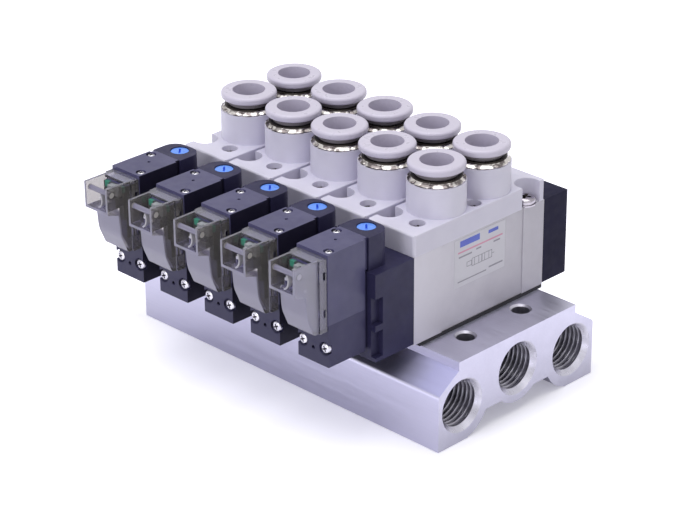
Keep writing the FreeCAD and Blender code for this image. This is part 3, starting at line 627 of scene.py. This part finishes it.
def cross_screw(head, crown, shank, length, washers=0.0):
    """A pan-head screw as mesh data, with its seat at the origin and its head upwards.

    Where washers has a height, a flat washer and a spring washer lie under the head.
    """
    body = crown - washers
    dome = ((0, 0), (0.45, 0), (0.72, 0.08), (0.9, 0.26), (0.98, 0.52))
    outline = [(head * across, crown - body * down) for across, down in dome]
    outline += [(head * 0.98, washers + 0.08), (head * 0.94, washers)]
    if washers:
        neck, spring, split = head * 0.8, head * 0.88, washers * 0.45
        outline += [
            (neck, washers), (neck, washers - 0.05), (spring, washers - 0.05), (spring, split + 0.04),
            (neck, split + 0.04), (neck, split), (head, split), (head, 0),
        ]
    outline += [(shank, 0), (shank, -length), (0, -length)]
    solid = bmesh.new()
    turned(solid, outline, steps=32)
    arm, half = head * 0.64, head * 0.17
    cross = [
        (arm, -half), (arm, half), (half, half), (half, arm), (-half, arm), (-half, half),
        (-arm, half), (-arm, -half), (-half, -half), (-half, -arm), (half, -arm), (half, -half),
    ]
    taper, depth, above = 0.45, body * 0.62, 0.2
    floor = [(x * taper, y * taper, crown - depth) for x, y in cross]
    recess = bmesh.new()
    # The recess's faces take the second finish, which paints shade in them.
    lofted(recess, [floor, [(x, y, crown + above) for x, y in cross]], material=1)
    return carved(solid, recess)


PILOT_SCREW_X = 3.6
PILOT_SCREW_Z = 29.6
PILOT_SEAT_DEPTH = 1.0


def screws():
    """Stands real screws in for the plain ones of the three groups."""
    pan = cross_screw(head=2.6, crown=2.0, shank=1.25, length=29.0, washers=0.75)
    small = cross_screw(head=1.7, crown=2.3, shank=0.9, length=6.1)
    tiny = cross_screw(head=1.12, crown=1.5, shank=0.7, length=8.0)
    front = cross_screw(head=1.36, crown=0.95, shank=0.7, length=8.0)
    body_top, block_seat, coil_seat = 45.0, 47.3, 51.9
    pan_places = ((5.7, 17.6, body_top), (-5.7, -17.3, body_top))
    corners = ((2.85, -17.5), (-2.85, 17.5), (4.75, 0.0), (-4.75, 0.0))
    small_places = [(x, y, block_seat) for x, y in corners]
    tiny_places = ((3.2, -46.9, coil_seat), (-3.2, -38.0, coil_seat))
    front_places = [(side * PILOT_SCREW_X, PILOT_FRONT + PILOT_SEAT_DEPTH, PILOT_SCREW_Z) for side in SIDES]
    turn = Matrix.Rotation(math.radians(24), 4, "Z")

    def at_all(places, aim=turn):
        """The screws' places at all stations, from those of one valve."""
        return [upright(middle + x, y, z) @ aim for middle in VALVE_X.values() for x, y, z in places]

    slot = "plated_steel"
    pans, smalls = [(pan, at_all(pan_places))], [(small, at_all(small_places))]
    spread("pan_screws", pans, [steel, shaded], slot=slot, stands_for=["mounting_screws"])
    spread("small_screws", smalls, [steel, shaded], slot=slot, stands_for=["block_screws"])
    tinies = [(tiny, at_all(tiny_places)), (front, at_all(front_places, FORWARD @ turn))]
    spread("tiny_screws", tinies, [zinc, recess_painted_shade], slot=slot, stands_for=["pilot_screws"])


# Port blocks, with rounded outer edges

def edge_cutter(corner, along, first, second, radius):
    """What rounding takes off an edge that starts at a corner; first and second point into the part."""
    corner, along, first, second = (Vector(value) for value in (corner, along, first, second))
    outside, overrun, steps = 0.3, 0.01, 8
    outline = [(-outside, -outside), (radius, -outside), (radius, 0.0)]
    for step in range(1, steps):
        angle = math.pi / 2 * step / steps
        outline.append((radius - radius * math.sin(angle), radius - radius * math.cos(angle)))
    outline += [(0.0, radius), (-outside, radius)]
    bm = bmesh.new()
    ends = (-overrun, 1 + overrun)
    lofted(bm, [[corner + first * a + second * b + along * reach for a, b in outline] for reach in ends])
    return bm


def rounded_blocks():
    """Stands a block with rounded edges in for each sharp one."""
    (_, front, low), (half, rear, _) = box_of(f"port_block_{MIDDLE}")
    plate = 5.5
    top = low + plate
    wide, deep, high = (2 * half, 0, 0), (0, rear - front, 0), (0, 0, top - low)
    down, left, right, inward, outward = (0, 0, -1), (-1, 0, 0), (1, 0, 0), (0, 1, 0), (0, -1, 0)
    edges = [
        ((-half, front, low), high, right, inward, 0.8),
        ((half, front, low), high, left, inward, 0.8),
        ((-half, rear, low), high, right, outward, 0.6),
        ((half, rear, low), high, left, outward, 0.6),
        ((-half, front, top), wide, inward, down, 0.6),
        ((-half, rear, top), wide, outward, down, 0.4),
        ((-half, front, top), deep, right, down, 0.28),
        ((half, front, top), deep, left, down, 0.28),
    ]
    shape = cad_copy(f"port_block_{MIDDLE}")
    for edge in edges:
        mesh = carved(shape, edge_cutter(*edge))
        shape = edit_mesh(mesh)
    shape.free()
    at_each_station("rounded_block", mesh, white, "white_resin", "port_block")


# Lower pilots, with wider seats for the two screws in front

def seated_pilots():
    """Stands a lower pilot with wider screw seats in for each plain one."""
    radius, above = 1.72, 0.3
    outline = [(0, -PILOT_SEAT_DEPTH), (radius, -PILOT_SEAT_DEPTH), (radius, above), (0, above)]
    seats = bmesh.new()
    for side in SIDES:
        start = len(seats.verts)
        turned(seats, outline, steps=40)
        moved(seats, start, upright(side * PILOT_SCREW_X, PILOT_FRONT, PILOT_SCREW_Z) @ FORWARD)
    mesh = carved(cad_copy(f"pilot_valve_{MIDDLE}"), seats)
    at_each_station("seated_pilot", mesh, pilot_dark, "black_resin", "pilot_valve")


# Fittings, with the crimped metal ring under each collar

def crimped_rings():
    """Stands a crimped ring with a scalloped rim in for each plain sleeve."""
    foot = box_of("fitting_sleeves")[0][2]
    rim, bore, sleeve = 58.12, 5.3, 6.3
    outline = [(bore, foot), (sleeve, foot), (sleeve, rim)]
    outline += [(radius, rim + above) for radius, above in (
        (6.86, 0), (7.0, 0.14), (7.0, 0.3), (6.86, 0.42), (6.5, 0.66), (6.34, 0.86), (6.22, 1.02),
        (6.1, 1.36), (5.9, 1.5), (bore, 1.5),
    )]
    crimped, lip = range(3, 8), rim + 1.02
    notches, depth, share = 9, 0.055, 0.13

    def reach(angle, number):
        """The rim bows outwards between the notches that the crimping leaves."""
        if number not in crimped:
            return 1.0
        phase = angle * notches / math.tau % 1.0
        notch = max(0.0, 1.0 - abs(phase - 0.5) / share)
        return 1.0 - depth * notch * notch * (3 - 2 * notch)

    bm = bmesh.new()
    turned(bm, outline, steps=144, reach=reach)
    bmesh.ops.recalc_face_normals(bm, faces=bm.faces)
    # Faces above the lip take the second finish, a painted shade under the collar.
    for face in bm.faces:
        if face.calc_center_median().z > lip:
            face.material_index = 1
    places = [upright(x, side * FITTING_Y, 0) for x in VALVE_X.values() for side in SIDES]
    placed = [(mesh_from(bm, "ring"), places)]
    spread("crimped_rings", placed, [nickel, shaded], slot="plated_brass", stands_for=["fitting_sleeves"])


# Override buttons

def buttons():
    """Stands a slotted button in for each plain one."""
    low, high = box_of(f"override_button_{MIDDLE}")
    radius, height, foot = high[0], high[2] - low[2], 0.03
    outline = [
        (0, foot), (radius - 0.2, foot), (radius, foot + 0.2), (radius, height - 0.14),
        (radius - 0.1, height - 0.03), (radius - 0.22, height), (0, height),
    ]
    solid = bmesh.new()
    turned(solid, outline, steps=64)
    half_length, half_width, depth, above = 1.5, 0.25, 0.9, 0.4
    corners = (-half_length, -half_width, height - depth), (half_length, half_width, height + above)
    slot = bmesh.new()
    block(slot, *corners, Matrix.Rotation(math.radians(135), 3, "Z"))
    button = carved(solid, slot)
    for k, x in VALVE_X.items():
        placed = [(button, [upright(x, (low[1] + high[1]) / 2, low[2])])]
        spread(
            f"slotted_button_{k}", placed, [button_blue], body=f"override_button_{k}", slot="blue_resin",
            stands_for=[f"override_button_{k}"],
        )


# Printed labels on the metal bodies

def outlined(y, z, line, hair):
    """The four bars of an open rectangle, which lie a hair apart so that no two share an edge."""
    y = (y[0] + hair, y[1] - hair)
    between = (z[0] + line + hair, z[1] - line - hair)
    level = [(y, (z[0], z[0] + line)), (y, (z[1] - line, z[1]))]
    return level + [((y[0], y[0] + line), between), ((y[1] - line, y[1]), between)]


def flow_symbol():
    """The bars of the valve's flow symbol: two squares with two ways each, the coil's box and a stub."""
    line, hair = 0.16, 0.005
    width, low, high = 3.6, 35.9, 38.0
    inside = (low + line + 2 * hair, high - line - 2 * hair)
    bars = []
    for start in (-3.2, 0.4):
        bars += outlined((start, start + width), (low, high), line, hair)
        bars += [((start + way, start + way + line), inside) for way in (0.9, 2.4)]
    bars += outlined((-5.0, -3.2), (36.3, 37.6), line, hair)
    return bars + [((4.0, 4.8), (36.85, 37.0))]


def labels():
    """Lays a thin film with plain marks and the valve's flow symbol on each body's right side."""
    blue, red, grey = 1, 2, 3
    lines = [
        ((-7.8, -3.2), (39.35, 39.75)), ((-1.7, 0.1), (39.7, 40.1)), ((4.5, 6.8), (39.6, 40.0)),
        ((-8.1, 2.0), (33.0, 33.3)), ((2.9, 7.9), (33.4, 33.8)),
    ]
    printed = (
        (blue, [((-7.4, -0.5), (42.1, 43.7)), ((2.6, 6.1), (42.5, 43.4))]),
        (red, [((-8.1, 7.7), (40.6, 41.0))]),
        (grey, lines + flow_symbol()),
    )
    body_side, film, ink, sunk = 7.25, 0.05, 0.07, 0.02
    film_y, film_z = (-9.3, 8.6), (31.8, 44.3)
    bm = bmesh.new()
    for x in VALVE_X.values():
        side = x + body_side
        block(bm, (side - sunk, film_y[0], film_z[0]), (side + film, film_y[1], film_z[1]))
        for colour, bars in printed:
            for y, z in bars:
                block(bm, (side + film - sunk, y[0], z[0]), (side + ink, y[1], z[1]), material=colour)
    finished("valve_labels", bm, [label_film, label_blue, label_red, label_grey], slot="cast_body")


# Parts inside the light covers

def bent_strip(bm, points, y, thick, material):
    """Adds a flat strip that follows points of (x, z), as wide as y says."""
    rows = []
    for number, (x, z) in enumerate(points):
        before = Vector(points[max(number - 1, 0)])
        after = Vector(points[min(number + 1, len(points) - 1)])
        side = (after - before).normalized().orthogonal() * thick / 2
        corners = ((-1, y[0]), (1, y[0]), (1, y[1]), (-1, y[1]))
        rows.append([(x + side.x * way, edge, z + side.y * way) for way, edge in corners])
    lofted(bm, rows, material)


def socket_parts():
    """Fills each socket with a black block that stands for the shade inside it, lamp lenses and contact
    spring.
    """
    painted_shade_block, lens, strip = 0, 1, 2
    # The first box is a black block put where the socket's inside is only in shade.
    boxes = (
        ((-1.9, -55.6, 46.7), (3.3, -53.3, 48.9), painted_shade_block), ((0.0, -54.9, 49.4), (1.5, -53.3, 51.7), lens),
        ((1.7, -54.5, 49.2), (3.2, -53.3, 51.9), lens), ((0.6, -56.0, 50.0), (2.6, -55.0, 51.2), lens),
    )
    spring = ((0.9, 50.4), (1.3, 49.7), (1.45, 48.9), (1.3, 48.0), (0.8, 47.2), (0.1, 46.7))
    spring_y, thick = (-58.0, -56.9), 0.4
    bm = bmesh.new()
    for x in VALVE_X.values():
        for low, high, material in boxes:
            block(bm, (x + low[0], *low[1:]), (x + high[0], *high[1:]), material=material)
        bent_strip(bm, [(x + across, high) for across, high in spring], spring_y, thick, strip)
    bmesh.ops.recalc_face_normals(bm, faces=bm.faces)
    finished("socket_parts", bm, [black, milky, contact], slot="black_resin")


# The base bar, with its bevelled edges and threaded ports

PORTS = ((-19.75, 9.5), (0.0, 11.9), (19.75, 9.5))
BOLT_HOLE = (43.7, 9.9)


def soften_long_edges(bm):
    """Bevels the long sharp edges of a mesh and leaves the short ones, such as a circle's."""
    steep, shortest, width = math.radians(50), 3.0, 0.25
    sharp = [edge for edge in bm.edges if len(edge.link_faces) == 2 and edge.calc_face_angle() > steep]
    long = [edge for edge in sharp if edge.calc_length() > shortest]
    bmesh.ops.bevel(bm, geom=long, offset=width, segments=2, profile=0.5, affect="EDGES", clamp_overlap=True)


def thread_cutter(bm, face_x, inward, y, z):
    """Adds a helical cutter for a 1/4 pipe thread that runs inwards from an end face.

    It is turned by a share of a step, so that its edges stay clear of the bar's own.
    """
    pitch, bore, height, length = 1.337, 5.58, 0.96, 10.7
    smooth, lead, inset, share = 1.3, 0.6, 0.02, 0.37
    per_turn, around = 8, 64
    rings = []
    for number in range(round(length / pitch * per_turn) + 1):
        depth = number * pitch / per_turn
        grown = min(max((depth - smooth) / lead, 0.0), 1.0)
        ring = []
        for step in range(around):
            angle = math.tau * (step + share) / around
            phase = (depth / pitch + step / around) % 1.0
            ridge = 1.0 - 2.0 * abs(phase - 0.5)
            radius = bore + height * min(max(ridge * 1.3 - 0.15, 0.0), 1.0) * grown
            x = face_x + inward * (depth + inset)
            ring.append((x, y + radius * math.cos(angle), z + radius * math.sin(angle)))
        rings.append(ring)
    lofted(bm, rings)


def bar_finish(face):
    """Which of the bar's finishes a face takes: 0 for anodised, 1 for the bores' machined metal with painted
    shade, 2 for a port's chamfer.
    """
    port_radius, mouth_radius, hole_radius = 6.9, 6.94, 2.8
    thread_start, mouth_depth, below_top, end_on = 1.1, 1.8, 0.05, 0.9
    middle = face.calc_center_median()
    to_end = BAR_END - abs(middle.x)
    to_port = min(math.dist((middle.y, middle.z), place) for place in PORTS)
    to_hole = math.dist((abs(middle.x), abs(middle.y)), BOLT_HOLE)
    if to_port < port_radius and to_end > thread_start:
        return 1
    if to_hole < hole_radius and middle.z < BAR_TOP - below_top:
        return 1
    in_mouth = to_port < mouth_radius and to_end < mouth_depth and abs(face.normal.x) < end_on
    return 2 if in_mouth else 0


def threaded_base():
    """Stands a bar with softened edges and real threads in for the plain one."""
    bm = cad_copy("manifold_base")
    soften_long_edges(bm)
    tool = bmesh.new()
    for end in SIDES:
        for y, z in PORTS:
            thread_cutter(tool, end * BAR_END, -end, y, z)
    bar = edit_mesh(carved(bm, tool))
    for face in bar.faces:
        face.material_index = bar_finish(face)
    facts = {"sharp": 30, "slot": "anodised_bar", "stands_for": ["manifold_base"]}
    evened(finished("threaded_base", bar, [anodised, bore_with_painted_shade, mouth], **facts))


screws()
rounded_blocks()
seated_pilots()
crimped_rings()
buttons()
labels()
socket_parts()
threaded_base()


# Studio and camera

def surroundings():
    """Even light from all round, brighter to the camera and in reflections than on the part."""
    world = bpy.data.worlds.new("studio")
    world.use_nodes = True
    bpy.context.scene.world = world
    wiring = Wiring(world.node_tree)
    background = wiring.nodes["Background"].inputs
    background["Color"].default_value = (1, 1, 1, 1)
    wiring.feed(background["Strength"], wiring.by_ray(others=0.38, mirrored=0.85, seen=1.0))


def paper_floor():
    """A pale matt floor that glows only to the camera and in reflections, with a painted shadow near the bar
    that fades away from it.
    """
    size, drop = 6, 0.1 * MM
    bpy.ops.mesh.primitive_plane_add(size=size, location=(0, 0, -drop))
    floor = bpy.context.object
    floor.name = "floor"
    paper = Finish("paper_floor").set(Roughness=1.0, Specular_IOR_Level=0.0)
    paper.set(Base_Color=(0.8, 0.8, 0.8, 1), Emission_Color=(0.87, 0.86, 1, 1))
    # Painted shadow: the glow is lower near the bar, as seen and as reflected.
    seen = paper.away_from_bar(-2, 24, near=0.32, far=0.82)
    mirrored = paper.away_from_bar(2, 45, near=0.04, far=0.85)
    paper.feed(paper.shader.inputs["Emission Strength"], paper.by_ray(0.0, mirrored, seen))
    floor.data.materials.append(paper.material)


def lamps():
    """Three soft square lamps that aim at the middle of the part."""
    target = Vector((0, 0, 0.03))
    for name, place, size, power, tone in (
        ("lamp_top", (0.0, -0.05, 0.7), 0.7, 3.3, (1, 1, 1)),
        ("lamp_front", (0.03, -0.85, 0.3), 0.5, 2.3, (0.94, 0.94, 1)),
        ("lamp_right", (0.75, 0.05, 0.4), 0.5, 0.3, (1, 1, 1)),
    ):
        light = bpy.data.lights.new(name, "AREA")
        light.color = tone
        light.size = size
        light.energy = power
        lamp = in_scene(name, light)
        lamp.location = place
        lamp.rotation_euler = (target - lamp.location).to_track_quat("-Z", "Y").to_euler()


def camera():
    """The camera at the photograph's place, found from the part's own corners in the picture."""
    data = bpy.data.cameras.new("camera")
    data.sensor_width = 36.0
    data.lens = 128.87
    data.clip_start = 0.01
    data.clip_end = 20.0
    item = in_scene("camera", data)
    right = Vector((0.71186534, 0.70229188, -0.00581865))
    up = Vector((-0.29994001, 0.31149925, 0.90166746))
    back = Vector((0.63504624, -0.64012057, 0.43239095))
    turn = Matrix((right, up, back)).transposed().to_4x4()
    place = Vector((396.694, -404.515, 294.387)) * MM
    item.matrix_world = Matrix.Translation(place) @ turn
    bpy.context.scene.camera = item


surroundings()
paper_floor()
lamps()
bpy.context.scene.view_settings.view_transform = "Standard"
camera()
